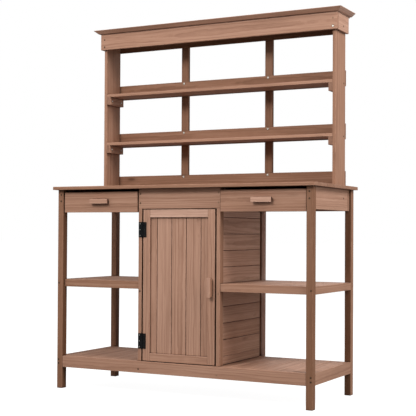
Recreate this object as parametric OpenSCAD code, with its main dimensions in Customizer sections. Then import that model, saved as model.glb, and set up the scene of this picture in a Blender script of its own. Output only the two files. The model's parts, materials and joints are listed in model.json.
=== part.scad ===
// Potting bench: a worktop on four legs with two drawers and a cabinet below,
// and a hutch with two shelves above. Millimetres, +Z up, -Y is the front.
// The origin is on the floor, under the middle of the worktop.

/* [Overall] */
// Height from the floor to the top of the crown
height = 1640; // [1600:5:1700]
// Width of the worktop
top_w = 1246; // [1200:2:1300]
// Depth of the worktop
top_d = 498; // [490:2:520]
// Height of the worktop surface
top_z = 892; // [880:2:900]
// Thickness of the worktop boards
top_t = 14; // [12:1:16]

/* [Base frame] */
// How far the worktop stands out beyond the legs at the sides
over_side = 15; // [10:1:20]
// How far the worktop stands out beyond the front legs
over_front = 21; // [15:1:25]
// How far the worktop stands out beyond the rear legs
over_rear = 12; // [8:1:16]
// Leg width, across the bench
leg_w = 28; // [26:1:32]
// Leg depth, front to back
leg_d = 31; // [28:1:34]
// Thickness of rails and side aprons
rail_t = 15; // [13:1:16]
// Height of the underside of the bottom rails
bottom_z = 94; // [80:2:100]
// Height of the deck surface
deck_z = 143.5; // [140:0.5:150]
// Height of the middle shelf surface
mid_z = 482; // [470:2:500]
// Height of the middle shelf rails
mid_h = 32; // [28:1:36]
// Thickness of shelf and deck boards
board_t = 12; // [10:1:13]
// Widest board that the shelves, the deck and the door are made from
stock_w = 70; // [60:1:80]

/* [Cabinet] */
// Width over the cabinet posts
cab_w = 391; // [380:1:400]
// Width of a front post
post_w = 16.5; // [15:0.5:18]
// Depth of a front post
post_d = 32; // [28:1:34]
// Set-back of the posts, the door and the centre apron behind the leg fronts
cab_set = 11; // [10:1:14]
// Width of a rear post
rear_post_w = 15.5; // [12:0.5:17]
// Height of the underside of the centre apron
apron_z = 792; // [785:1:795]
// Thickness of the cladding boards
clad_t = 10; // [8:1:11]

/* [Door] */
// Width of the door
door_w = 344; // [340:1:346]
// Width of the strips that frame the door
strip_w = 33; // [28:1:38]
// Thickness of the strips
strip_t = 9; // [7:1:10]
// Height of one hinge
hinge_h = 64; // [54:2:70]

/* [Drawers] */
// Width of a drawer front
front_w = 378; // [370:1:380]
// Height of a drawer front
front_h = 89; // [84:1:90]
// Length of a drawer side
side_l = 350; // [300:10:360]
// Thickness of the drawer sides and back
side_t = 12; // [10:1:14]
// Height of the drawer sides
side_h = 66; // [60:1:68]

/* [Hutch] */
// Width over the uprights
hutch_w = 1158; // [1100:2:1170]
// Thickness of an upright
upright_t = 14; // [12:1:16]
// Depth of an upright
upright_d = 117; // [110:1:120]
// Thickness of the back rails
back_t = 10; // [8:1:12]
// Height of a back rail
back_h = 68; // [60:1:70]
// Height of the upper shelf surface
shelf_upper_z = 1341; // [1330:1:1350]
// Height of the lower shelf surface
shelf_lower_z = 1113.5; // [1100:0.5:1125]
// Thickness of the hutch shelves
shelf_t = 13; // [11:1:15]
// Height of the header boards
header_h = 71; // [66:1:75]
// How far the crown stands out beyond the header
crown_out = 25; // [18:1:26]
// Height of the crown above the header
crown_h = 19; // [16:1:20]

/* [Hidden] */
$fn = 32;

// Colours
WOOD = [0.58, 0.42, 0.34];
WOOD_DARK = [0.46, 0.31, 0.24];
BLACK = [0.08, 0.08, 0.08];
ZINC = [0.72, 0.70, 0.66];

// Planes and levels of the base
LEFT = -1;
RIGHT = 1;
leg_x = top_w / 2 - over_side;
front_y = -top_d / 2 + over_front;
rear_y = top_d / 2 - over_rear;
inner_front_y = front_y + leg_d;
inner_rear_y = rear_y - leg_d;
leg_h = top_z - top_t;
leg_in = leg_x - leg_w;
rail_in = leg_x - rail_t;
seam = 1;

// Top boards and aprons
apron_set = 8;
apron_t = 15;
apron_low = 787;
rear_apron_t = 24;
apron_out = leg_x - apron_set;
rear_apron_y = inner_rear_y - rear_apron_t;
top_boards = 7;

// Deck and middle shelves
deck_front_y = front_y + 1 + rail_t;
deck_rear_y = inner_rear_y - rail_t - 1;
bearer_w = 15;
bearer_h = 18;
mid_front_y = front_y + 14;
mid_low = mid_z - mid_h;
notch_gap = 0.5;

// Cabinet
cab_x = cab_w / 2;
cab_y = front_y + cab_set;
post_in = cab_x - post_w;
clad_out = cab_x - 11;
clad_in = clad_out - clad_t;
clad_front_y = cab_y + post_d;
clad_rear_y = inner_rear_y - 10;
clad_pitch = 69;
clad_first_z = 178.5;
filler_low_z = clad_first_z + 4 * clad_pitch;
filler_h = 25.5;
upper_low_z = filler_low_z + filler_h;
batten_w = 14;
rear_strip_d = 14;
back_in = cab_x - rear_post_w;
centre_apron_t = 12;

// Door
door_x = door_w / 2;
door_low = deck_z + 3;
door_high = apron_z - 3.5;
door_h = door_high - door_low;
plank_t = 12;
plank_y = cab_y + strip_t;
back_boards = 5;
handle_w = 16;
handle_h = 80;
handle_out = 22;
handle_x = 153.5;
handle_z = 465;
catch_z = 690;
catch_w = 17;
catch_h = 40;
catch_gap = 0.4;
plate_t = 1.2;

// Hinges
knuckle_r = 3.2;
pin_r = 1.5;
bore_r = 1.55;
leaf_t = 1.6;
axis_x = -(post_in + door_x) / 2;
axis_y = cab_y - knuckle_r;
hinge_mids = [229, 703];
knuckles = 5;
knuckle_h = hinge_h / knuckles;
knuckle_gap = 0.3;
leaf_gap = 0.6;
post_leaf_w = 19;
door_leaf_w = 19;
screw_pitch = hinge_h / 2 - 7;

// Drawers
drawer_mid = 388;
front_t = 15;
front_low = 778;
drawer_y = front_y + 5;
box_y = drawer_y + front_t;
box_out = front_w / 2 - 3;
side_low = 792;
pull_w = 90;
pull_h = 20;
pull_out = 18;
pull_z = 825.5;
bottom_t = 5;
bottom_z0 = side_low + 6;
groove_d = 4;
panel_gap = 0.2;
runner_h = 12;
runner_z = 820;
runner_in = 6;
runner_gap = 0.5;
runner_rear_y = rear_apron_y - 8;

// Hutch
hutch_x = hutch_w / 2;
hutch_set = 28;
back_y = rear_y - hutch_set;
upright_y = back_y - upright_d;
header_top = height - crown_h;
header_z = header_top - header_h;
header_t = 14;
header_end_t = 12;
header_x = hutch_x + header_end_t;
header_y = upright_y - header_t;
header_rear_y = back_y + 8;
crown_rear_y = back_y + 24;
shelf_x = hutch_x - upright_t;
back_rail_zs = [top_z, 1097, 1326, header_top - back_h];
slat_x = 214;
slat_w = 37;
slat_t = 14;
cleat_t = 19;
cleat_h = 35.5;
top_board_t = 12;
crown_in = 8;

// Screws
head_r = 3.8;
head_t = 1.2;
small_head_r = 2.4;
leg_screw = 45;
board_screw = 28;
thin_screw = 20;
stub_screw = 12;
hinge_screw = 22;
door_screw = 10;

// ---- Shapes that repeat ----

// A plain board between two corners
module board(low, high) {
    translate(low)
        cube(high - low);
}

// Tongued and grooved boards side by side along X from x0 to x1, running from y = 0 to y = length.
// Their face is at z = 0 and they lie below it. The outer edges are square.
module matchboard(x0, x1, count, length, thick) {
    w = (x1 - x0) / count;
    tongue = 4;
    third = thick / 3;
    bevel = 2;
    slack = 0.2;
    for (i = [0 : count - 1])
        translate([x0 + i * w, length, 0])
            rotate([90, 0, 0])
                linear_extrude(length)
                    difference() {
                        union() {
                            left = i > 0 ? seam / 2 : 0;
                            right = i < count - 1 ? w - seam / 2 : w;
                            polygon([
                                [left, -thick], [right, -thick],
                                [right, -bevel], [right - bevel, 0],
                                [left + bevel, 0], [left, -bevel],
                            ]);
                            if (i < count - 1)
                                translate([w - 1, -2 * third])
                                    square([1 + tongue, third]);
                        }
                        if (i > 0)
                            translate([-1, -2 * third - slack])
                                square([1 + tongue + seam, third + 2 * slack]);
                    }
}

// A countersunk screw with its head at z = 0, pointing down
module screw(length, radius = head_r) {
    shank = radius / 2;
    union() {
        translate([0, 0, -head_t])
            cylinder(h = head_t * 1.5, r = radius);
        translate([0, 0, -length])
            cylinder(h = length, r = shank);
    }
}

// Screws in a face that looks to -Y, at each [x, z]
module front_screws(y, places, length, radius = head_r) {
    for (p = places)
        translate([p[0], y, p[1]])
            rotate([90, 0, 0])
                screw(length, radius);
}

// Screws in a face that looks to +Y, at each [x, z]
module rear_screws(y, places, length, radius = head_r) {
    for (p = places)
        translate([p[0], y, p[1]])
            rotate([-90, 0, 0])
                screw(length, radius);
}

// Screws in a face that looks to +X, at each [y, z]
module side_screws(x, places, length, radius = head_r) {
    for (p = places)
        translate([x, p[0], p[1]])
            rotate([0, 90, 0])
                screw(length, radius);
}

// What is drawn for the right-hand side, put on either side
module mirrored(side) {
    mirror([side == LEFT ? 1 : 0, 0, 0])
        children();
}

// ---- Base frame ----

module leg(side, y0) {
    color(WOOD)
        mirrored(side)
            board([leg_in, y0, 0], [leg_x, y0 + leg_d, leg_h]);
}

module side_apron(side) {
    color(WOOD)
        mirrored(side)
            board([apron_out - apron_t, inner_front_y, apron_low], [apron_out, rear_apron_y, leg_h]);
}

module rear_apron() {
    color(WOOD)
        board([-apron_out, rear_apron_y, apron_low], [apron_out, inner_rear_y, leg_h]);
}

module centre_apron() {
    color(WOOD)
        board([-cab_x, cab_y, apron_z], [cab_x, cab_y + centre_apron_t, leg_h]);
}

module worktop_boards() {
    color(WOOD)
        translate([-top_w / 2, 0, top_z])
            rotate([0, 0, -90])
                matchboard(-top_d / 2, top_d / 2, top_boards, top_w, top_t);
}

module bottom_rail_front() {
    color(WOOD)
        board([-leg_in, front_y + 1, bottom_z], [leg_in, deck_front_y, deck_z]);
}

module bottom_rail_rear() {
    color(WOOD)
        board([-rail_in, deck_rear_y + 1, bottom_z], [rail_in, inner_rear_y, deck_z]);
}

module bottom_side_rails() {
    color(WOOD)
        for (side = [LEFT, RIGHT])
            mirrored(side)
                board([rail_in, inner_front_y, bottom_z], [leg_x, inner_rear_y, deck_z]);
}

// Boards from front to back between two x planes, notched round the posts and legs
module floor_boards(x0, x1, y0, y1, z) {
    count = ceil((x1 - x0) / stock_w);
    translate([0, y0, z])
        matchboard(x0, x1, count, y1 - y0, board_t);
}

module leg_notches() {
    for (side = [LEFT, RIGHT])
        mirrored(side)
            board([leg_in - notch_gap, front_y - 1, 0],
                [leg_x + 1, inner_front_y + notch_gap, leg_h]);
}

module deck_boards() {
    color(WOOD)
        difference() {
            floor_boards(-rail_in, rail_in, deck_front_y, deck_rear_y, deck_z);
            leg_notches();
        }
}

// Strips under the deck: one along the front, one along the rear and two across
module deck_bearers() {
    high = deck_z - board_t;
    low = high - bearer_h;
    color(WOOD_DARK) {
        board([-leg_in, deck_front_y, low], [leg_in, deck_front_y + bearer_w, high]);
        board([-rail_in, deck_rear_y + 1 - bearer_w, low], [rail_in, deck_rear_y + 1, high]);
        for (side = [LEFT, RIGHT])
            mirrored(side)
                board([cab_x - post_w, deck_front_y + bearer_w + 1, low],
                    [cab_x - 1, deck_rear_y - bearer_w, high]);
    }
}

// Front, outer and rear rails of a middle shelf, with the strips that its boards lie on
module shelf_rails(side) {
    strip_high = mid_z - board_t;
    strip_low = strip_high - bearer_h;
    color(WOOD)
        mirrored(side) {
            board([cab_x, mid_front_y, mid_low], [leg_in, mid_front_y + rail_t, mid_z]);
            board([rail_in, inner_front_y, mid_low], [leg_x, inner_rear_y, mid_z]);
            board([clad_out, inner_rear_y - rail_t, mid_low], [rail_in - 1, inner_rear_y, mid_z]);
            board([cab_x + 1, mid_front_y + rail_t + 1, strip_low],
                [leg_in - 1, mid_front_y + rail_t + 1 + bearer_w, strip_high]);
            board([clad_out, clad_front_y, strip_low - 2],
                [cab_x, inner_rear_y - rail_t - 1, strip_high]);
        }
}

module shelf_boards(side) {
    color(WOOD)
        mirrored(side)
            difference() {
                floor_boards(clad_out, rail_in, mid_front_y + rail_t, inner_rear_y - rail_t, mid_z);
                leg_notches();
                board([clad_out - 1, mid_front_y, mid_low],
                    [cab_x + notch_gap, clad_front_y + notch_gap, mid_z + 1]);
            }
}

// ---- Cabinet ----

// A front post is halved at the top, where the centre apron lies flush with it
module cabinet_post_front(side) {
    color(WOOD)
        mirrored(side)
            difference() {
                board([post_in, cab_y, deck_z], [cab_x, cab_y + post_d, leg_h]);
                board([post_in - 1, cab_y - 1, apron_z],
                    [cab_x + 1, cab_y + centre_apron_t, leg_h + 1]);
            }
}

// A rear post is thinner between the rails, and leaves a gap behind the cladding there
module cabinet_post_rear(side) {
    color(WOOD)
        mirrored(side)
            difference() {
                board([back_in, inner_rear_y, bottom_z], [cab_x, rear_y, leg_h]);
                board([back_in - 1, inner_rear_y - 1, deck_z],
                    [cab_x + 1, rear_y - rear_strip_d, apron_low]);
            }
}

// Horizontal matchboards from z0 to z1 on one side of the cabinet
module cladding(side, z0, z1, count) {
    mirrored(side)
        translate([clad_out, clad_front_y, 0])
            rotate([0, 90, 0])
                matchboard(-z1, -z0, count, clad_rear_y - clad_front_y, clad_t);
}

// Cladding of one side: a narrow board at the deck, then full boards, a narrow filler
// at the middle shelf, and full boards again up to the worktop, notched round the rear apron
module cabinet_side(side) {
    last_z = upper_low_z + 5 * clad_pitch;
    color(WOOD_DARK)
        difference() {
            union() {
                cladding(side, deck_z, clad_first_z, 1);
                cladding(side, clad_first_z, filler_low_z, 4);
                cladding(side, filler_low_z, upper_low_z, 1);
                cladding(side, upper_low_z, last_z, 5);
                cladding(side, last_z, leg_h, 1);
            }
            mirrored(side)
                board([clad_in - 1, rear_apron_y - notch_gap, apron_low - notch_gap],
                    [clad_out + 1, clad_rear_y + 1, leg_h + 1]);
        }
}

module cabinet_back_boards() {
    color(WOOD_DARK)
        translate([0, rear_y - rear_strip_d, bottom_z])
            rotate([90, 0, 0])
                matchboard(-back_in, back_in, back_boards, leg_h - bottom_z, clad_t);
}

// Upright strips inside the cabinet that the cladding is nailed to. The rear ones reach the back
// boards, which are nailed to two level strips behind the rear apron and the rear rail.
module cabinet_battens() {
    color(WOOD_DARK) {
        for (side = [LEFT, RIGHT])
            mirrored(side) {
                board([clad_in - batten_w, clad_front_y, deck_z],
                    [clad_in, clad_front_y + batten_w, leg_h]);
                board([clad_in - batten_w, clad_rear_y - batten_w, deck_z + notch_gap],
                    [clad_in, rear_y - rear_strip_d, apron_low - notch_gap]);
            }
        for (zs = [[apron_low, leg_h], [bottom_z, deck_z]])
            board([-back_in, inner_rear_y, zs[0]], [back_in, rear_y - rear_strip_d, zs[1]]);
    }
}

// Magnet housing behind the free edge of the door, on the right front post
module door_catch() {
    y0 = plank_y + plank_t + plate_t + catch_gap;
    color(BLACK)
        board([post_in - catch_w, y0, catch_z], [post_in, clad_front_y, catch_z + catch_h]);
}

// Steel plate on the back of the door that the magnet holds
module catch_plate() {
    margin = 5;
    color(ZINC)
        translate([post_in - catch_w - 3, plank_y + plank_t, catch_z + margin])
            cube([12, plate_t, catch_h - 2 * margin]);
}

// ---- Door ----

// Full boards from the free edge on, and a narrower one at the hinges
module door_boards() {
    count = ceil(door_w / stock_w);
    color(WOOD)
        intersection() {
            translate([0, plank_y, door_low])
                rotate([90, 0, 0])
                    matchboard(door_x - count * stock_w, door_x, count, door_h, plank_t);
            board([-door_x, plank_y - 1, door_low - 1],
                [door_x + 1, plank_y + plank_t + 1, door_high + 1]);
        }
}

module door_stiles() {
    color(WOOD)
        for (side = [LEFT, RIGHT])
            mirrored(side)
                board([door_x - strip_w, cab_y, door_low], [door_x, plank_y, door_high]);
}

module door_rails() {
    x1 = door_x - strip_w - notch_gap / 2;
    color(WOOD)
        for (z = [door_low, door_high - strip_w])
            board([-x1, cab_y, z], [x1, plank_y, z + strip_w]);
}

// A bar handle along Z. Its ends slope in towards its back.
module bar(length, width, out) {
    undercut = 5;
    lip = 4;
    translate([-width / 2, 0, length / 2])
        rotate([0, 90, 0])
            linear_extrude(width)
                polygon([
                    [-length / 2 + undercut, 0], [-length / 2, -out + lip], [-length / 2, -out],
                    [length / 2, -out], [length / 2, -out + lip], [length / 2 - undercut, 0],
                ]);
}

module door_handle() {
    color(WOOD)
        translate([handle_x, cab_y, handle_z - handle_h / 2])
            bar(handle_h, handle_w, handle_out);
}

// One hinge: which = 0 gives the knuckles of the post leaf, 1 those of the door leaf
module leaf(which, plate_x0, plate_x1) {
    x_near = which == 0 ? -1 : 1;
    difference() {
        union() {
            difference() {
                translate([plate_x0, knuckle_r - leaf_t, 0])
                    cube([plate_x1 - plate_x0, leaf_t, hinge_h]);
                for (i = [0 : knuckles - 1])
                    if (i % 2 != which)
                        translate([0, 0, i * knuckle_h - knuckle_gap / 2])
                            cylinder(h = knuckle_h + knuckle_gap, r = knuckle_r + leaf_gap);
            }
            for (i = [0 : knuckles - 1])
                if (i % 2 == which)
                    translate([0, 0, i * knuckle_h + knuckle_gap / 2]) {
                        cylinder(h = knuckle_h - knuckle_gap, r = knuckle_r);
                        translate([min(0, x_near * knuckle_r * 2), knuckle_r - leaf_t, 0])
                            cube([knuckle_r * 2, leaf_t, knuckle_h - knuckle_gap]);
                    }
        }
        translate([0, 0, -1])
            cylinder(h = hinge_h + 2, r = bore_r);
    }
}

module hinge_post_leaves() {
    color(BLACK)
        for (z = hinge_mids)
            translate([axis_x, axis_y, z - hinge_h / 2])
                leaf(0, -post_leaf_w, -leaf_gap);
}

module hinge_door_leaves() {
    color(BLACK)
        for (z = hinge_mids)
            translate([axis_x, axis_y, z - hinge_h / 2])
                leaf(1, leaf_gap, door_leaf_w);
}

module hinge_pins() {
    cap_h = 1.6;
    color(BLACK)
        for (z = hinge_mids)
            translate([axis_x, axis_y, z - hinge_h / 2]) {
                translate([0, 0, -cap_h])
                    cylinder(h = cap_h, r = knuckle_r - 0.6);
                translate([0, 0, -cap_h / 2])
                    cylinder(h = hinge_h + cap_h, r = pin_r);
                translate([0, 0, hinge_h])
                    cylinder(h = cap_h, r = knuckle_r - 0.6);
            }
}

function hinge_screw_zs() = [
    for (z = hinge_mids)
        for (i = [-1 : 1])
            z + i * screw_pitch
];

module door_screws() {
    color(ZINC)
        front_screws(axis_y + knuckle_r - leaf_t,
            [for (z = hinge_screw_zs()) [axis_x + 12, z]], door_screw, small_head_r);
}

// ---- Drawers, drawn for the right-hand bay and mirrored for the left ----

module drawer_front(side) {
    color(WOOD)
        mirrored(side)
            board([drawer_mid - front_w / 2, drawer_y, front_low],
                [drawer_mid + front_w / 2, box_y, front_low + front_h]);
}

module drawer_pull(side) {
    color(WOOD)
        mirrored(side)
            translate([drawer_mid - pull_w / 2, drawer_y, pull_z])
                rotate([0, 90, 0])
                    bar(pull_w, pull_h, pull_out);
}

// Space that the drawer bottom takes, grown by a gap on each face
module bottom_panel(gap) {
    x1 = box_out - side_t + groove_d + gap;
    board([drawer_mid - x1, box_y, bottom_z0 - gap],
        [drawer_mid + x1, box_y + side_l - side_t + groove_d + gap, bottom_z0 + bottom_t + gap]);
}

// Each side has a groove outside for its runner and one inside for the bottom
module drawer_sides(side) {
    groove_x = box_out - runner_in - runner_gap;
    groove_high = runner_z + runner_h + runner_gap;
    color(WOOD)
        mirrored(side)
            difference() {
                for (end = [LEFT, RIGHT])
                    translate([drawer_mid, 0, 0])
                        mirrored(end)
                            difference() {
                                board([box_out - side_t, box_y, side_low],
                                    [box_out, box_y + side_l, side_low + side_h]);
                                board([groove_x, box_y + side_t, runner_z - runner_gap],
                                    [box_out + 1, box_y + side_l + 1, groove_high]);
                            }
                bottom_panel(panel_gap);
            }
}

module drawer_back(side) {
    x1 = box_out - side_t;
    color(WOOD)
        mirrored(side)
            difference() {
                board([drawer_mid - x1, box_y + side_l - side_t, side_low + 1],
                    [drawer_mid + x1, box_y + side_l, side_low + side_h]);
                bottom_panel(panel_gap);
            }
}

module drawer_bottom(side) {
    color(WOOD_DARK)
        mirrored(side)
            bottom_panel(0);
}

// Strips that run in the grooves of the drawer sides
module drawer_runners() {
    near = drawer_mid - box_out;
    far = drawer_mid + box_out;
    color(WOOD_DARK)
        for (side = [LEFT, RIGHT])
            mirrored(side) {
                board([clad_out, clad_front_y, runner_z],
                    [near + runner_in, runner_rear_y, runner_z + runner_h]);
                board([far - runner_in, inner_front_y + 1, runner_z],
                    [apron_out - apron_t, runner_rear_y, runner_z + runner_h]);
            }
}

// ---- Hutch ----

module hutch_upright(side) {
    color(WOOD)
        mirrored(side)
            board([shelf_x, upright_y, top_z], [hutch_x, back_y, header_top]);
}

module hutch_back_rails() {
    color(WOOD)
        for (z = back_rail_zs)
            board([-hutch_x, back_y, z], [hutch_x, back_y + back_t, z + back_h]);
}

module hutch_slats() {
    color(WOOD)
        for (side = [LEFT, RIGHT])
            translate([side * slat_x - slat_w / 2, back_y + back_t, top_z])
                cube([slat_w, slat_t, header_top - top_z]);
}

module hutch_shelf(z) {
    color(WOOD)
        board([-shelf_x, upright_y, z - shelf_t], [shelf_x, back_y, z]);
}

module hutch_shelf_cleats() {
    color(WOOD)
        for (side = [LEFT, RIGHT])
            for (z = [shelf_upper_z, shelf_lower_z])
                mirrored(side)
                    board([shelf_x - cleat_t, upright_y, z - shelf_t - cleat_h],
                        [shelf_x, back_y, z - shelf_t]);
}

module header_front() {
    color(WOOD)
        board([-header_x, header_y, header_z], [header_x, upright_y, header_top]);
}

module header_sides() {
    color(WOOD)
        for (side = [LEFT, RIGHT])
            mirrored(side)
                board([hutch_x, upright_y, header_z], [header_x, header_rear_y, header_top]);
}

module top_board() {
    x1 = header_x - crown_in - notch_gap;
    color(WOOD)
        board([-x1, header_y + crown_in + notch_gap, header_top],
            [x1, back_y + back_t, header_top + top_board_t]);
}

// Section of the crown: x is the distance out from the header, y is the height above it
module crown_section() {
    lip = 8;
    rise = 3.5;
    polygon([
        [-crown_in, 0], [0, 0], [0, rise], [lip, rise],
        [crown_out, crown_h - 1.5], [crown_out, crown_h],
        [crown_out - 12, crown_h], [-crown_in, 2],
    ]);
}

// Region that the front length of the crown keeps, between the two mitres
module mitre_region() {
    reach = crown_out + 20;
    inner = crown_in + 20;
    translate([0, 0, header_top - 1])
        linear_extrude(crown_h + 2)
            polygon([
                [-header_x - reach, header_y - reach], [header_x + reach, header_y - reach],
                [header_x - inner, header_y + inner], [-header_x + inner, header_y + inner],
            ]);
}

module crown_front() {
    run = header_x + crown_out + 5;
    color(WOOD)
        intersection() {
            translate([-run, header_y, header_top])
                rotate([90, 0, 90])
                    linear_extrude(2 * run)
                        mirror([1, 0])
                            crown_section();
            translate([0, -0.05, 0])
                mitre_region();
        }
}

module crown_ends() {
    color(WOOD)
        difference() {
            for (side = [LEFT, RIGHT])
                mirrored(side)
                    translate([header_x, crown_rear_y, header_top])
                        rotate([90, 0, 0])
                            linear_extrude(crown_rear_y - header_y + crown_out)
                                crown_section();
            translate([0, 0.05, 0])
                mitre_region();
        }
}

// ---- Screws of the bench ----

module bench_screws() {
    rail_zs = [110, 127, mid_z - mid_h / 2];
    apron_zs = [828, 856];
    rail_x = leg_x - rail_t / 2;
    apron_x = apron_out - apron_t / 2;
    post_x = cab_x - post_w / 2;
    leg_places = concat([for (z = rail_zs) [rail_x, z]], [for (z = apron_zs) [apron_x, z]]);
    post_places = [for (z = [441, 816, 856]) [post_x, z]];
    slat_places = [for (z = back_rail_zs) [slat_x, z + back_h - 8]];
    header_places = [for (z = [header_z + 13, header_z + 47]) [hutch_x - 8, z]];
    shelf_places = [for (z = [shelf_upper_z, shelf_lower_z]) [back_y - 18, z - shelf_t / 2]];
    cleat_places = [
        for (z = [shelf_upper_z, shelf_lower_z])
            for (y = [upright_y + 19, back_y - 20])
                [y, z - shelf_t - cleat_h / 2]
    ];
    color(ZINC) {
        for (side = [LEFT, RIGHT])
            mirrored(side) {
                front_screws(front_y, leg_places, leg_screw);
                rear_screws(rear_y, leg_places, leg_screw);
                front_screws(front_y + 1, [[post_x, 110]], stub_screw);
                front_screws(cab_y, post_places, board_screw);
                front_screws(back_y, slat_places, thin_screw);
                front_screws(header_y, header_places, board_screw);
                side_screws(apron_out, [[rear_apron_y - 47, 839]], stub_screw);
                side_screws(header_x, [[back_y - 57, header_z + 22]], thin_screw);
                side_screws(hutch_x, shelf_places, board_screw);
                mirror([1, 0, 0])
                    side_screws(cleat_t - shelf_x, cleat_places, board_screw);
            }
        front_screws(axis_y + knuckle_r - leaf_t,
            [for (z = hinge_screw_zs()) [axis_x - 12, z]], hinge_screw, small_head_r);
    }
}

leg(LEFT, front_y);  // leg_front_left
leg(RIGHT, front_y);  // leg_front_right
leg(LEFT, inner_rear_y);  // leg_rear_left
leg(RIGHT, inner_rear_y);  // leg_rear_right
side_apron(LEFT);  // side_apron_left
side_apron(RIGHT);  // side_apron_right
rear_apron();
centre_apron();
worktop_boards();
bottom_rail_front();
bottom_rail_rear();
bottom_side_rails();
deck_boards();
deck_bearers();
shelf_rails(LEFT);  // left_shelf_rails
shelf_boards(LEFT);  // left_shelf_boards
shelf_rails(RIGHT);  // right_shelf_rails
shelf_boards(RIGHT);  // right_shelf_boards
cabinet_post_front(LEFT);  // cabinet_post_front_left
cabinet_post_front(RIGHT);  // cabinet_post_front_right
cabinet_post_rear(LEFT);  // cabinet_post_rear_left
cabinet_post_rear(RIGHT);  // cabinet_post_rear_right
cabinet_side(LEFT);  // cabinet_side_left
cabinet_side(RIGHT);  // cabinet_side_right
cabinet_back_boards();
cabinet_battens();
door_catch();
hinge_post_leaves();
hinge_pins();
bench_screws();
drawer_runners();
hutch_upright(LEFT);  // hutch_upright_left
hutch_upright(RIGHT);  // hutch_upright_right
hutch_back_rails();
hutch_slats();
hutch_shelf(shelf_upper_z);  // hutch_shelf_upper
hutch_shelf(shelf_lower_z);  // hutch_shelf_lower
hutch_shelf_cleats();
header_front();
header_sides();
crown_front();
crown_ends();
top_board();
drawer_front(LEFT);  // drawer_left_front
drawer_pull(LEFT);  // drawer_left_pull
drawer_sides(LEFT);  // drawer_left_sides
drawer_back(LEFT);  // drawer_left_back
drawer_bottom(LEFT);  // drawer_left_bottom
drawer_front(RIGHT);  // drawer_right_front
drawer_pull(RIGHT);  // drawer_right_pull
drawer_sides(RIGHT);  // drawer_right_sides
drawer_back(RIGHT);  // drawer_right_back
drawer_bottom(RIGHT);  // drawer_right_bottom
door_boards();
door_stiles();
door_rails();
door_handle();
hinge_door_leaves();
door_screws();
catch_plate();
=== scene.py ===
"""Looks of a potting bench round its CAD frame. Metres, +Z up, -Y is the front."""
import json
import math
import random

import bmesh
import bpy
from mathutils import Matrix, Vector

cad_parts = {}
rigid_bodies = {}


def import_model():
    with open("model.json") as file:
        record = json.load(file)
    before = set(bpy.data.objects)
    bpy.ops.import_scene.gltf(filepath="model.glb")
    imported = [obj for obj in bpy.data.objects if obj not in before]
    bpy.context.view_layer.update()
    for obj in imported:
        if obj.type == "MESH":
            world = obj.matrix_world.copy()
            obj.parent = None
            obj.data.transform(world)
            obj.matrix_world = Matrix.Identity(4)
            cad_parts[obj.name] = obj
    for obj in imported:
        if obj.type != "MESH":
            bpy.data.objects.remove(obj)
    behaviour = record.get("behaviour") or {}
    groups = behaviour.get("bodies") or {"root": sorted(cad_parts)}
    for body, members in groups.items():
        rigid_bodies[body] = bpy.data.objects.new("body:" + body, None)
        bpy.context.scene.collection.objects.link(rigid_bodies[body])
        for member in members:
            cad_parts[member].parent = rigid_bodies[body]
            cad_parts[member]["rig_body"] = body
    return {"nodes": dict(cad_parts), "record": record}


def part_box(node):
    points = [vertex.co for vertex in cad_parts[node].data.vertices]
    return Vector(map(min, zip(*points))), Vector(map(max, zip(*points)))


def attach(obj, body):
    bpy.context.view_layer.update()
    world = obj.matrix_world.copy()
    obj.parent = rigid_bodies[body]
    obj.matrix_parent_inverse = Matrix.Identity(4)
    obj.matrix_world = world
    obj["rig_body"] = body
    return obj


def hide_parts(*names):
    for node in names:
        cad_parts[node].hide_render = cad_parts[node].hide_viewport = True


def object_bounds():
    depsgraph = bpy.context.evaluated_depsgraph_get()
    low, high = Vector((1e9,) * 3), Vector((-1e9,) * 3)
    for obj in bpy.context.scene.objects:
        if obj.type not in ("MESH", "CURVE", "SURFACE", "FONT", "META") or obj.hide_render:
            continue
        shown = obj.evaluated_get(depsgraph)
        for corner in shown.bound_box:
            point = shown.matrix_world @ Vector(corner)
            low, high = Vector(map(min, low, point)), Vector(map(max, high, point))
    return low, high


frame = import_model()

CAD_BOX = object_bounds()
NODES = frame["nodes"]
RECORD = frame["record"]
SLOTS = {part["node"]: part["material_slot"] for part in RECORD["subparts"]}
MM = 0.001

# ---- Camera ----

CAMERA_AT = Vector((2.1163, -3.9852, 0.6867))
CAMERA_YAW = math.radians(27.776)
CAMERA_PITCH = math.radians(0.953)
CAMERA_ROLL = math.radians(0.319)
SENSOR = 36.0
CLIP_END = 200.0
LENS = 89.29
SHIFT = (0.0039, 0.0209)


def add_camera():
    """A camera that looks at the bench from the front right."""
    data = bpy.data.cameras.new("camera")
    data.sensor_width = SENSOR
    data.lens = LENS
    data.shift_x, data.shift_y = SHIFT
    data.clip_end = CLIP_END
    camera = bpy.data.objects.new("camera", data)
    turn = Matrix.Rotation(CAMERA_YAW, 4, "Z")
    tilt = Matrix.Rotation(math.radians(90) + CAMERA_PITCH, 4, "X")
    roll = Matrix.Rotation(CAMERA_ROLL, 4, "Z")
    camera.matrix_world = Matrix.Translation(CAMERA_AT) @ turn @ tilt @ roll
    bpy.context.scene.collection.objects.link(camera)
    bpy.context.scene.camera = camera


# ---- Node graphs ----

# The colour sockets of a mix node, which also has sockets for numbers and vectors
MIX_COLOURS_IN = slice(6, 8)
MIX_COLOUR_OUT = 2
# Samples per shading point of the nearness of other faces
OPENNESS_SAMPLES = 8


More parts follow.
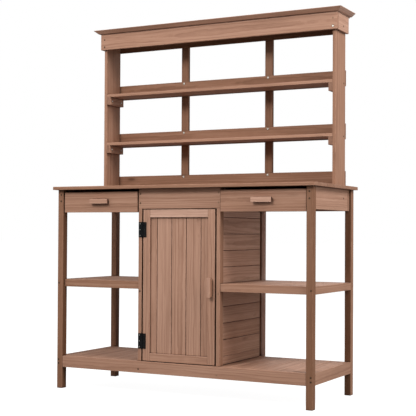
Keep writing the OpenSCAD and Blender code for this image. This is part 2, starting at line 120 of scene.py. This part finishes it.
class Graph:
    """A material and short calls that add linked nodes to it."""

    def __init__(self, name):
        self.material = bpy.data.materials.new(name)
        self.material.use_nodes = True
        self.nodes = self.material.node_tree.nodes
        self.links = self.material.node_tree.links
        self.shader = self.nodes["Principled BSDF"]

    def put(self, socket, value):
        """Links an output to a socket, or gives the socket a constant."""
        if isinstance(value, bpy.types.NodeSocket):
            self.links.new(value, socket)
        else:
            socket.default_value = value

    def attribute(self, name):
        node = self.nodes.new("ShaderNodeAttribute")
        node.attribute_name = name
        return node.outputs["Vector"]

    def split(self, vector):
        node = self.nodes.new("ShaderNodeSeparateXYZ")
        self.put(node.inputs[0], vector)
        return node.outputs

    def math(self, operation, a, b, clamp=False):
        node = self.nodes.new("ShaderNodeMath")
        node.operation = operation
        node.use_clamp = clamp
        self.put(node.inputs[0], a)
        self.put(node.inputs[1], b)
        return node.outputs[0]

    def vector(self, operation, a, b):
        node = self.nodes.new("ShaderNodeVectorMath")
        node.operation = operation
        self.put(node.inputs[0], a)
        self.put(node.inputs[1], b)
        return node.outputs["Vector"]

    def noise(self, vector, scale, detail, roughness=0.5):
        node = self.nodes.new("ShaderNodeTexNoise")
        self.put(node.inputs["Vector"], vector)
        self.put(node.inputs["Scale"], scale)
        self.put(node.inputs["Detail"], detail)
        self.put(node.inputs["Roughness"], roughness)
        return node.outputs

    def stretched(self, vector, stretch, detail, roughness=0.5):
        """Noise that varies by stretch per metre along X, Y and Z."""
        return self.noise(self.vector("MULTIPLY", vector, stretch), 1.0, detail, roughness)

    def weigh(self, *terms):
        """The sum of (value, weight) terms."""
        total = None
        for value, weight in terms:
            part = self.math("MULTIPLY", value, weight)
            total = self.math("ADD", total, part) if total else part
        return total

    def rings(self, vector, scale, distortion):
        """Saw-edged rings round the X axis, like the growth rings of a log."""
        node = self.nodes.new("ShaderNodeTexWave")
        node.wave_type = "RINGS"
        node.rings_direction = "X"
        node.wave_profile = "SAW"
        self.put(node.inputs["Vector"], vector)
        self.put(node.inputs["Scale"], scale)
        self.put(node.inputs["Distortion"], distortion)
        self.put(node.inputs["Detail"], 2.0)
        self.put(node.inputs["Detail Scale"], 0.4)
        return node.outputs["Fac"]

    def cells(self, vector, scale):
        node = self.nodes.new("ShaderNodeTexVoronoi")
        self.put(node.inputs["Vector"], vector)
        self.put(node.inputs["Scale"], scale)
        return node.outputs["Distance"]

    def openness(self, distance):
        """1 in the open, and less where other faces are near."""
        node = self.nodes.new("ShaderNodeAmbientOcclusion")
        node.samples = OPENNESS_SAMPLES
        self.put(node.inputs["Distance"], distance)
        return node.outputs["AO"]

    def ramp(self, value, stops):
        """stops is [(position, grey level or colour), ...]."""
        node = self.nodes.new("ShaderNodeValToRGB")
        self.put(node.inputs[0], value)
        ends = node.color_ramp.elements
        while len(ends) < len(stops):
            ends.new(0.5)
        for end, (position, level) in zip(ends, stops):
            end.position = position
            colour = level if isinstance(level, tuple) else (level, level, level)
            end.color = (*colour, 1.0)
        return node.outputs["Color"]

    def mix(self, amount, a, b):
        node = self.nodes.new("ShaderNodeMix")
        node.data_type = "RGBA"
        self.put(node.inputs[0], amount)
        for socket, value in zip(node.inputs[MIX_COLOURS_IN], (a, b)):
            self.put(socket, (*value, 1.0) if isinstance(value, tuple) else value)
        return node.outputs[MIX_COLOUR_OUT]

    def bump(self, height, distance, strength):
        node = self.nodes.new("ShaderNodeBump")
        self.put(node.inputs["Height"], height)
        self.put(node.inputs["Distance"], distance)
        self.put(node.inputs["Strength"], strength)
        return node.outputs["Normal"]


# ---- Materials ----

# Every wooden piece carries two vectors in its mesh. "timber" is a point's place in the log
# that its board was sawn from, with X along the grain. "board" holds the tone of the board and face,
# partly stain and partly painted light and shade, how much a face's end grain is darkened, and
# whether it lies on a rounded edge, which is painted lighter as wear and highlight.
TIMBER = "timber"
BOARD = "board"

# Reach of the painted shade in the corners and gaps between pieces, and in the seams between boards,
# where some stain also pools
SHADE_REACH = 22 * MM
SEAM_SHADE_REACH = 5 * MM
# Sideways drift of the grain along a log
WANDER = 14 * MM
# How fast each pattern of the wood varies per metre, along the grain and across it
DRIFT_PACE = (1.6, 7.0, 7.0)
FIBRE_PACE = (5.0, 420.0, 420.0)
STREAK_PACE = (1.2, 55.0, 55.0)
STAIN_PACE = (2.6, 12.0, 12.0)
KNOT_PACE = (3.1, 10.0, 10.0)
PORE_PACE = (16.0, 900.0, 900.0)
SCUFF_PACE = (40.0, 160.0, 160.0)
RING_PACE = 70.0
# How far each pattern shows
RING_WEIGHT = 0.18
FIBRE_WEIGHT = 0.38
STREAK_WEIGHT = 0.42
STAIN_WEIGHT = 0.30
KNOT_SHARE = 0.75
PORE_SHARE = 0.22
END_GRAIN_SHARE = 0.3
WEAR_AND_HIGHLIGHT_SHARE = 0.45
SHADE_AND_GRIME_SHARE = 0.95


def times(factor, colour):
    return tuple(min(1.0, factor * c) for c in colour)


def wood_material(name, dark, mid, light, roughness):
    """Stained softwood: growth rings, fibres, streaks, stains, knots, pores, rounded edges painted
    lighter as wear and highlight, and painted shade in corners, gaps and seams, where some stain also
    pools.
    """
    g = Graph(name)
    timber = g.attribute(TIMBER)
    shade, end_grain, edge = g.split(g.attribute(BOARD))

    drift = g.vector("SUBTRACT", g.stretched(timber, DRIFT_PACE, 3.0)["Color"], (0.5, 0.5, 0.5))
    log = g.vector("ADD", timber, g.vector("MULTIPLY", drift, (0.0, WANDER, WANDER)))
    rings = g.rings(log, RING_PACE, 1.2)
    latewood = g.ramp(rings, [(0.0, 0.15), (0.45, 0.3), (0.88, 1.0), (1.0, 0.2)])
    fibre = g.stretched(log, FIBRE_PACE, 4.0, 0.6)["Fac"]
    streak = g.stretched(log, STREAK_PACE, 5.0, 0.7)["Fac"]
    stain = g.stretched(timber, STAIN_PACE, 4.0, 0.6)["Fac"]
    grain = g.weigh(
        (latewood, RING_WEIGHT), (fibre, FIBRE_WEIGHT), (streak, STREAK_WEIGHT), (stain, STAIN_WEIGHT)
    )
    colour = g.ramp(grain, [(0.39, light), (0.61, mid), (0.90, dark)])

    knot = g.cells(g.vector("MULTIPLY", timber, KNOT_PACE), 1.0)
    knot = g.ramp(knot, [(0.0, 1.0), (0.045, 0.85), (0.075, 0.25), (0.13, 0.0)])
    colour = g.mix(g.math("MULTIPLY", knot, KNOT_SHARE), colour, times(0.55, dark))

    pore = g.ramp(g.stretched(timber, PORE_PACE, 2.0)["Fac"], [(0.62, 0.0), (0.74, 1.0)])
    colour = g.mix(g.math("MULTIPLY", pore, PORE_SHARE), colour, dark)

    colour = g.mix(g.math("MULTIPLY", end_grain, END_GRAIN_SHARE), colour, times(0.7, dark))
    # Rounded edges are painted lighter in patches, partly as wear and partly as a painted highlight
    wear_and_highlight = g.ramp(g.stretched(timber, SCUFF_PACE, 3.0, 0.7)["Fac"], [(0.45, 0.0), (0.6, 1.0)])
    wear_and_highlight = g.math("MULTIPLY", g.math("MULTIPLY", edge, wear_and_highlight), WEAR_AND_HIGHLIGHT_SHARE)
    colour = g.mix(wear_and_highlight, colour, times(1.25, light))

    # Painted shade: corners and gaps between pieces and the seams between boards are darkened nearly
    # to black; in the seams some stain also pools
    shade_and_grime = g.ramp(g.openness(SHADE_REACH), [(0.12, 1.0), (0.4, 0.4), (0.72, 0.0)])
    shade_and_grime = g.math("MAXIMUM", shade_and_grime, g.ramp(g.openness(SEAM_SHADE_REACH), [(0.45, 1.0), (0.85, 0.0)]))
    colour = g.mix(g.math("MULTIPLY", shade_and_grime, SHADE_AND_GRIME_SHARE), colour, times(0.06, dark))

    # The tone, with its painted light and shade, sets the brightness; darker tones are made more
    # saturated, like painted light bounced between wooden faces
    tone = g.nodes.new("ShaderNodeHueSaturation")
    g.put(tone.inputs["Value"], shade)
    g.put(tone.inputs["Saturation"], g.math("SUBTRACT", 1.35, g.math("MULTIPLY", shade, 0.35)))
    g.put(tone.inputs["Color"], colour)
    g.put(g.shader.inputs["Base Color"], tone.outputs["Color"])

    dull = g.math("MULTIPLY", g.math("SUBTRACT", streak, 0.5), 0.3)
    g.put(g.shader.inputs["Roughness"], g.math("ADD", dull, roughness, clamp=True))
    g.put(g.shader.inputs["Specular IOR Level"], 0.22)
    relief = g.weigh((fibre, 0.6), (latewood, -0.35), (pore, -0.4))
    g.put(g.shader.inputs["Normal"], g.bump(relief, 0.35 * MM, 0.8))
    return g.material


def steel_material(name, colour, spot, metallic, roughness, pitch):
    """Coated or plated steel: mottled, with a fine orange peel and dull patches."""
    g = Graph(name)
    at = g.nodes.new("ShaderNodeTexCoord").outputs["Object"]
    patch = g.noise(at, 120.0, 4.0, 0.65)["Fac"]
    peel = g.noise(at, pitch, 2.0)["Fac"]
    g.put(g.shader.inputs["Base Color"], g.mix(g.ramp(patch, [(0.4, 0.0), (0.7, 1.0)]), colour, spot))
    g.put(g.shader.inputs["Metallic"], metallic)
    g.put(g.shader.inputs["Specular IOR Level"], 0.06)
    dull = g.math("MULTIPLY", g.math("SUBTRACT", patch, 0.5), 0.35)
    g.put(g.shader.inputs["Roughness"], g.math("ADD", dull, roughness, clamp=True))
    g.put(g.shader.inputs["Normal"], g.bump(peel, 0.08 * MM, 0.6))
    return g.material


DARK = (0.200, 0.094, 0.056)
MID = (0.365, 0.196, 0.128)
LIGHT = (0.475, 0.280, 0.196)
# The wood out of sight is a darker copy of the stained colours: painted shade
SHADED_HIDDEN_DARK = (0.150, 0.072, 0.044)
SHADED_HIDDEN_MID = (0.270, 0.146, 0.098)
SHADED_HIDDEN_LIGHT = (0.370, 0.215, 0.150)
# Colour, colour of the spots, metallic, roughness and pitch of the orange peel
STEELS = {
    "black_steel": ((0.006, 0.006, 0.0065), (0.014, 0.014, 0.015), 0.0, 0.6, 2600.0),
    # The zinc's near-white colour is partly the pale metal and partly a painted reflection that keeps
    # the heads bright in shade
    "zinc_steel": ((0.95, 0.92, 0.84), (0.74, 0.69, 0.58), 0.12, 0.42, 1800.0),
    "worn_screw": ((0.55, 0.53, 0.48), (0.36, 0.33, 0.27), 1.0, 0.42, 1800.0),
    "dull_screw": ((0.31, 0.20, 0.13), (0.22, 0.13, 0.08), 0.3, 0.6, 1800.0),
    "stained_screw": ((0.042, 0.032, 0.020), (0.022, 0.014, 0.009), 0.2, 0.7, 1800.0),
}
MATERIALS = {name: steel_material(name, *look) for name, look in STEELS.items()}
MATERIALS["stained_wood"] = wood_material("stained_wood", DARK, MID, LIGHT, 0.62)
MATERIALS["wood_hidden"] = wood_material("wood_hidden", SHADED_HIDDEN_DARK, SHADED_HIDDEN_MID, SHADED_HIDDEN_LIGHT, 0.75)

# ---- Wooden pieces ----

# Rounding of the edges of wood and of metal, its facets, and the least angle of a rounded edge
WOOD_EASE = 1.1 * MM
METAL_EASE = 0.25 * MM
EASE_FACETS = 2
SHARP = math.radians(25)
# Corners closer than this are one, and faces that turn by less are one
WELD = 0.01 * MM
FLAT = math.radians(0.5)
# Tone of the boards of a sub-part from the lowest up, where it isn't 1: partly the stain's own tone
# and partly painted light and shade. The last value also holds for the boards above.
STAIN_AND_LIGHT_TONES = {
    "leg_front_left": (0.62,), "leg_front_right": (0.61,),
    "leg_rear_left": (0.6,), "leg_rear_right": (0.48,),
    "worktop_boards": (0.8,), "side_apron_right": (1.08,),
    "left_shelf_rails": (0.8,), "right_shelf_rails": (0.92,),
    "cabinet_post_front_right": (0.96,), "cabinet_post_rear_right": (0.9,),
    "cabinet_side_right": (1.02, 1.06, 1.1, 1.14, 1.2, 1.27, 1.35, 1.43, 1.55),
    "cabinet_back_boards": (0.85,),
    "door_rails": (1.0, 1.4), "door_stiles": (1.07,), "door_boards": (1.1,), "door_handle": (1.2,),
    "drawer_left_front": (0.93,), "drawer_right_front": (0.96,),
    "drawer_left_pull": (1.2,), "drawer_right_pull": (1.3,),
    "hutch_upright_left": (0.9,), "hutch_slats": (0.6,), "hutch_back_rails": (0.73, 0.76, 0.67, 0.5),
    "header_sides": (1.25,), "top_board": (0.6,), "crown_front": (1.06,), "crown_ends": (1.5,),
}
# Random spread of the shade from board to board
BOARD_SPREAD = 0.05
# Sub-parts whose end grain is made darker than the others'
DARKER_END_GRAIN = {
    "drawer_left_pull": 2.4, "drawer_right_pull": 2.4, "door_handle": 2.4, "hutch_shelf_cleats": 1.8,
}
# Painted light and shade: sub-parts whose faces to the front and to the sides are made lighter or
# darker than the rest
PAINTED_FRONT_LIGHT = {"cabinet_post_rear_right": 2.3, "hutch_upright_right": 0.8}
PAINTED_SIDE_LIGHT = {
    "leg_rear_right": 1.75, "leg_front_left": 0.7, "worktop_boards": 1.3,
    "cabinet_post_front_right": 0.84, "door_handle": 0.72,
}
# A face looks along an axis when its normal's share along it is more than this
FACING = 0.7


def islands(bm):
    """The separate solids of a mesh, as lists of vertices, in a fixed order."""
    left = set(bm.verts)
    found = []
    for start in bm.verts:
        if start not in left:
            continue
        left.discard(start)
        group, edge_of = [start], [start]
        while edge_of:
            for edge in edge_of.pop().link_edges:
                for vert in edge.verts:
                    if vert in left:
                        left.discard(vert)
                        group.append(vert)
                        edge_of.append(vert)
        found.append(group)
    return found


def solid_mesh(node):
    """A CAD node's mesh with its corners joined and its triangles merged into whole faces."""
    bm = bmesh.new()
    bm.from_mesh(NODES[node].data)
    bmesh.ops.remove_doubles(bm, verts=bm.verts, dist=WELD)
    bmesh.ops.dissolve_limit(bm, angle_limit=FLAT, verts=bm.verts, edges=bm.edges)
    bm.verts.index_update()
    return bm


def ease_edges(bm, width):
    """Rounds the sharp edges and returns the narrow faces that this makes."""
    edges = [e for e in bm.edges if len(e.link_faces) == 2 and e.calc_face_angle(0.0) > SHARP]
    made = bmesh.ops.bevel(
        bm, geom=edges, offset=width, segments=EASE_FACETS, profile=0.5, affect="EDGES",
        clamp_overlap=True,
    )
    bm.faces.index_update()
    bm.normal_update()
    return made["faces"]


def extent(group):
    """The low and high corners of a group of vertices."""
    return tuple(Vector([end(v.co[i] for v in group) for i in range(3)]) for end in (min, max))


def sawn_from_log(group, dice):
    """The turn and shift that take one board's points to their place in a log, grain along X."""
    low, high = extent(group)
    size = high - low
    order = sorted(range(3), key=lambda i: -size[i])
    turn = Matrix([[1.0 if column == axis else 0.0 for column in range(3)] for axis in order])
    along, across = dice.uniform(-40, 40), dice.uniform(-0.03, 0.03)
    off_heart = dice.choice((-1, 1)) * dice.uniform(0.035, 0.09)
    return turn, (low + high) / 2, Vector((along, across, off_heart))


def wooden(node):
    """A wooden piece made from its CAD node, with eased edges and grain that follows each board."""
    bm = solid_mesh(node)
    owner = bm.verts.layers.int.new("owner")
    dice = random.Random(node)
    boards = []
    # Each board's tone, partly stain and partly painted light and shade
    tones = STAIN_AND_LIGHT_TONES.get(node, (1.0,))
    for group in sorted(islands(bm), key=lambda verts: min(round(v.co.z, 4) for v in verts)):
        for vert in group:
            vert[owner] = len(boards)
        tone = tones[min(len(boards), len(tones) - 1)]
        place = sawn_from_log(group, dice)
        boards.append((*place, tone * (1.0 + dice.uniform(-BOARD_SPREAD, BOARD_SPREAD))))
    eased = {face.index for face in ease_edges(bm, WOOD_EASE)}
    timber = bm.loops.layers.float_vector.new(TIMBER)
    board = bm.loops.layers.float_vector.new(BOARD)
    for face in bm.faces:
        turn, centre, heart, shade = boards[face.verts[0][owner]]
        end_grain = DARKER_END_GRAIN.get(node, 1.0) if abs((turn @ face.normal).x) > FACING else 0.0
        edge = 1.0 if face.index in eased else 0.0
        # Painted light and shade: front and side faces of some sub-parts are made lighter or darker
        tone = PAINTED_FRONT_LIGHT.get(node, 1.0) if face.normal.y < -FACING else 1.0
        tone *= PAINTED_SIDE_LIGHT.get(node, 1.0) if abs(face.normal.x) > FACING else 1.0
        for loop in face.loops:
            loop[timber] = turn @ (loop.vert.co - centre) + heart
            loop[board] = (shade * tone, end_grain, edge)
    bm.verts.layers.int.remove(owner)
    finish_piece(bm, node, [SLOTS[node]])


def finish_piece(bm, node, materials):
    """Turns the mesh into a piece that stands for its CAD node and rides on its body."""
    mesh = bpy.data.meshes.new(node + "_look")
    bm.to_mesh(mesh)
    bm.free()
    piece = bpy.data.objects.new(node + "_look", mesh)
    bpy.context.scene.collection.objects.link(piece)
    for name in materials:
        mesh.materials.append(MATERIALS[name])
    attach(piece, NODES[node]["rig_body"])
    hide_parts(node)


# ---- Metal pieces ----


def metal(node):
    """A metal piece made from its CAD node, with eased edges."""
    bm = solid_mesh(node)
    ease_edges(bm, METAL_EASE)
    finish_piece(bm, node, [SLOTS[node]])


SCREW_SIDES = 32
# Rings of a head's top, as shares of its radius
SCREW_RINGS = (0.16, 0.3, 0.44, 0.56, 0.66, 0.84, 1.0)
DOME = 0.1
SHANK = 0.5
RECESS_DEPTH = 0.5
RECESS_REACH = 0.6
RECESS_HALF_WIDTH = 0.17
# Height over the wood of a plain CAD head, of a detailed head's rim, and of the painted shadow ring
# round it, and the ring's radius as a share of the head's
PLAIN_PROUD = 0.6 * MM
PROUD = 0.25 * MM
SHADOW_RING_HIGH = 0.06 * MM
SHADOW_RING_SHARE = 1.45
BIG_HEAD = 3 * MM
# Heads this far over the header's lower edge are the upper ones
UPPER_HEAD = 30 * MM
COATINGS = ["zinc_steel", "stained_screw", "dull_screw", "worn_screw"]
ZINC, STAINED, DULL, WORN = range(len(COATINGS))


def screw_top(angle, share, radius):
    """Height of a domed screw head at a share of its radius, with a cross recess."""
    dome = DOME * radius * (1.0 - share**2)
    off_arm = abs((angle + math.radians(45)) % math.radians(90) - math.radians(45))
    in_arm = off_arm * share < RECESS_HALF_WIDTH and share < RECESS_REACH
    return dome - (RECESS_DEPTH * radius * (1.0 - share) if in_arm else 0.0)


def add_screw(bm, head, inward, length, radius, material):
    """A cross-head screw. head is the middle of its head's rim, inward the way it points."""
    place = Matrix.Translation(head) @ inward.to_track_quat("-Z", "Y").to_matrix().to_4x4()

    def ring(share, height):
        corners = []
        for i in range(SCREW_SIDES):
            a = math.tau * i / SCREW_SIDES
            corner = Vector((share * radius * math.cos(a), share * radius * math.sin(a), height(a)))
            corners.append(bm.verts.new(place @ corner))
        return corners

    def bands(rings, material):
        for inner, outer in zip(rings, rings[1:]):
            for i in range(SCREW_SIDES):
                j = (i + 1) % SCREW_SIDES
                face = bm.faces.new((inner[i], outer[i], outer[j], inner[j]))
                face.material_index = material

    below = [(1.0, -0.15 * radius), (SHANK, -0.7 * radius), (SHANK, radius - length), (0.1, -length)]
    rings = [ring(share, lambda a, s=share: screw_top(a, s, radius)) for share in SCREW_RINGS]
    rings += [ring(share, lambda a, h=height: h) for share, height in below]
    for cap in (rings[0], reversed(rings[-1])):
        bm.faces.new(cap).material_index = material
    bands(rings, material)
    if material == ZINC:
        # A painted shadow ring round each bright head, for the shade in its countersink
        bands([ring(share, lambda a: SHADOW_RING_HIGH - PROUD) for share in (1.0, SHADOW_RING_SHARE)], STAINED)


def spread(point, middle, axis):
    """Distance of a point from a line through middle along an axis."""
    return math.hypot(*[point[i] - middle[i] for i in range(3) if i != axis])


def coating(head, radius):
    """The stain covers most screws of the frame and the header. Those of the rails stay bright.
    Those of the hinges are worn on the post and dark on the door."""
    below_top = head.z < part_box("worktop_boards")[0].z
    on_leg = abs(head.x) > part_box("header_front")[1].x
    header_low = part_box("header_front")[0].z
    in_header = head.z > header_low and head.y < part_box("hutch_upright_left")[0].y
    on_side = head.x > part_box("hutch_upright_right")[1].x
    if radius < BIG_HEAD:
        return WORN if head.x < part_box("hinge_pins")[0].x else STAINED
    if below_top:
        return STAINED if on_leg or head.x < 0.0 else DULL
    if in_header and head.x > 0.0:
        return DULL if head.z > header_low + UPPER_HEAD else ZINC
    return STAINED if in_header or on_side else ZINC


def screws(node):
    """Detailed screws in the places of the plain ones of a CAD node."""
    plain = solid_mesh(node)
    bm = bmesh.new()
    for group in islands(plain):
        low, high = extent(group)
        axis = max(range(3), key=lambda i: high[i] - low[i])
        middle = (low + high) / 2
        radius = (high - low)[(axis + 1) % 3] / 2
        wide = [v.co for v in group if spread(v.co, middle, axis) > 0.9 * radius]
        rim = sum(co[axis] for co in wide) / len(wide)
        inward = Vector([math.copysign(1.0, middle[i] - rim) if i == axis else 0.0 for i in range(3)])
        sunk = PLAIN_PROUD - PROUD
        head = middle.copy()
        head[axis] = low[axis] if inward[axis] > 0 else high[axis]
        head += inward * sunk
        add_screw(bm, head, inward, (high - low)[axis] - sunk, radius, coating(head, radius))
    plain.free()
    bm.normal_update()
    finish_piece(bm, node, COATINGS)


# ---- Floor and light ----

WHITE = (1.0, 1.0, 1.0, 1.0)
WORLD_LIGHT = 0.24
# What the camera sees of the floor besides its light, which keeps it pale
FLOOR_GLOW = 0.965
FLOOR_SIZE = 60.0
# The floor lies this far below the feet
FLOOR_DROP = 0.2 * MM
LIGHT_TARGET = Vector((0.0, 0.0, 0.8))
LIGHT_DISTANCE = 4.5
# Azimuth, elevation, size and power of each soft light
LIGHTS = {
    "key": (-8, 34, 1.2, 132),
    "side": (74, 38, 2.0, 150),
    "low side": (82, 6, 2.4, 46),
    "left fill": (-50, 28, 3.0, 50),
    "back": (190, 26, 3.0, 40),
}


def add_stage():
    """A plain pale floor."""
    g = Graph("floor")
    at = g.nodes.new("ShaderNodeTexCoord").outputs["Object"]
    patch = g.noise(at, 0.8, 4.0)["Fac"]
    g.put(g.shader.inputs["Base Color"], g.ramp(patch, [(0.3, 0.25), (0.7, 0.27)]))
    g.put(g.shader.inputs["Roughness"], 0.9)
    g.put(g.shader.inputs["Specular IOR Level"], 0.1)
    seen = g.nodes.new("ShaderNodeLightPath").outputs["Is Camera Ray"]
    g.put(g.shader.inputs["Emission Color"], WHITE)
    g.put(g.shader.inputs["Emission Strength"], g.math("MULTIPLY", seen, FLOOR_GLOW))
    bm = bmesh.new()
    bmesh.ops.create_grid(bm, x_segments=1, y_segments=1, size=FLOOR_SIZE)
    mesh = bpy.data.meshes.new("floor")
    bm.to_mesh(mesh)
    bm.free()
    mesh.materials.append(g.material)
    floor = bpy.data.objects.new("floor", mesh)
    floor.location.z = CAD_BOX[0][2] - FLOOR_DROP
    bpy.context.scene.collection.objects.link(floor)


def add_light(name, azimuth, elevation, size, power):
    """A square soft light that looks at the middle of the bench. Azimuth 0 is the front."""
    a, e = math.radians(azimuth), math.radians(elevation)
    away = Vector((math.sin(a) * math.cos(e), -math.cos(a) * math.cos(e), math.sin(e)))
    data = bpy.data.lights.new(name, "AREA")
    data.size = size
    data.energy = power
    light = bpy.data.objects.new(name, data)
    light.location = LIGHT_TARGET + LIGHT_DISTANCE * away
    light.rotation_euler = away.to_track_quat("Z", "Y").to_euler()
    bpy.context.scene.collection.objects.link(light)


def add_world():
    """Soft light from everywhere, and plain white behind the object."""
    world = bpy.data.worlds.new("studio")
    bpy.context.scene.world = world
    world.use_nodes = True
    nodes, links = world.node_tree.nodes, world.node_tree.links
    path = nodes.new("ShaderNodeLightPath")
    soft = nodes["Background"]
    soft.inputs["Color"].default_value = WHITE
    soft.inputs["Strength"].default_value = WORLD_LIGHT
    white = nodes.new("ShaderNodeBackground")
    white.inputs["Color"].default_value = WHITE
    pick = nodes.new("ShaderNodeMixShader")
    links.new(path.outputs["Is Camera Ray"], pick.inputs[0])
    links.new(soft.outputs[0], pick.inputs[1])
    links.new(white.outputs[0], pick.inputs[2])
    links.new(pick.outputs[0], nodes["World Output"].inputs["Surface"])


# ---- Assembly ----

add_camera()
add_world()
add_stage()
for name, light in LIGHTS.items():
    add_light(name, *light)
bpy.context.scene.view_settings.view_transform = "Standard"

for node, slot in SLOTS.items():
    if slot in ("stained_wood", "wood_hidden"):
        wooden(node)
    elif node in ("bench_screws", "door_screws"):
        screws(node)
    else:
        metal(node)
